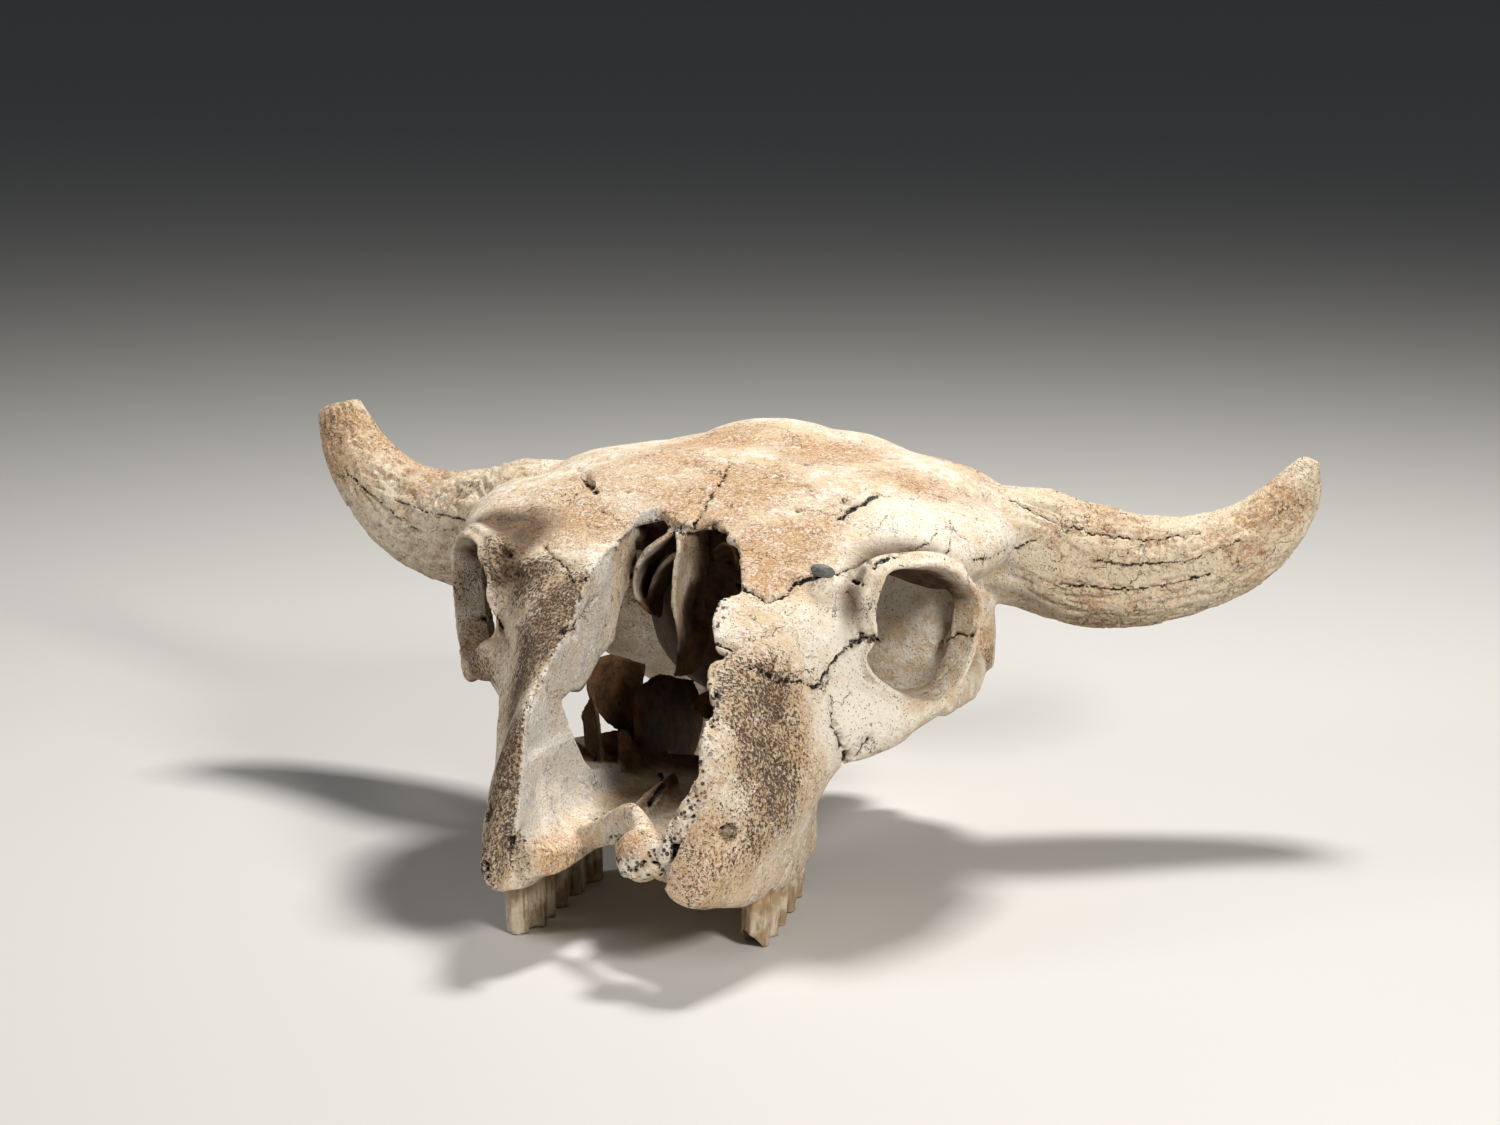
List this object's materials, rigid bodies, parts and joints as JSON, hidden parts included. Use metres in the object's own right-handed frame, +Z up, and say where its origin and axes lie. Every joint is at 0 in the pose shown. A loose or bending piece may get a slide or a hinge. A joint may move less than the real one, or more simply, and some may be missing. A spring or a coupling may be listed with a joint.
{
  "type": "bison skull",
  "caption": "Weathered bison skull without its lower jaw: broad domed forehead, upcurved horn cores, ring-shaped eye sockets, open nose and cheek teeth that it stands on.",
  "frame": {"origin": "under the middle of the skull's box, on the surface that it stands on", "axes": "+X towards the animal's left horn tip, -Y towards the muzzle, +Z up"},
  "size_m": [0.6723, 0.4506, 0.2528],
  "materials": {
    "weathered_bone": "dry, chalky and pitted",
    "tooth_enamel": "smooth and dull",
    "grey_stone": "dull"
  },
  "bodies": {
    "root": {"cranium": "weathered_bone", "left_premolar_3": "tooth_enamel", "left_premolar_4": "tooth_enamel", "left_molar_1": "tooth_enamel", "left_molar_2": "tooth_enamel", "left_molar_3": "tooth_enamel", "right_premolar_2": "tooth_enamel", "right_premolar_3": "tooth_enamel", "right_premolar_4": "tooth_enamel", "right_molar_1": "tooth_enamel", "right_molar_2": "tooth_enamel", "right_molar_3": "tooth_enamel", "lodged_chip": "grey_stone"}
  },
  "joints": []
}
